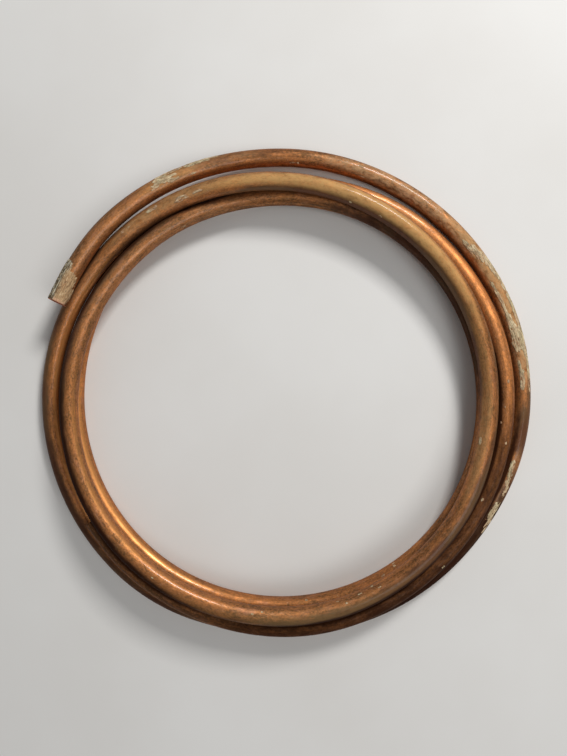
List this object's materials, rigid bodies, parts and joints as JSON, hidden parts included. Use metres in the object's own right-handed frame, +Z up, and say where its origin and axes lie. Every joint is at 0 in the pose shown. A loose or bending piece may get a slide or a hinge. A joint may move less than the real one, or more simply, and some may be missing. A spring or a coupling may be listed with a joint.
{
  "type": "copper tube coil",
  "caption": "Loose flat coil of bare copper water tube, lying on its side, with one free open end.",
  "frame": {"origin": "middle of the coil's footprint, at floor level", "axes": "+Z up through the coil's eye, with the side that the picture shows on top; +Y towards the picture's top and +X towards its right"},
  "size_m": [0.802, 0.7944, 0.084],
  "materials": {
    "aged_copper": "satin"
  },
  "bodies": {
    "root": {"copper_tube": "aged_copper"}
  },
  "joints": []
}
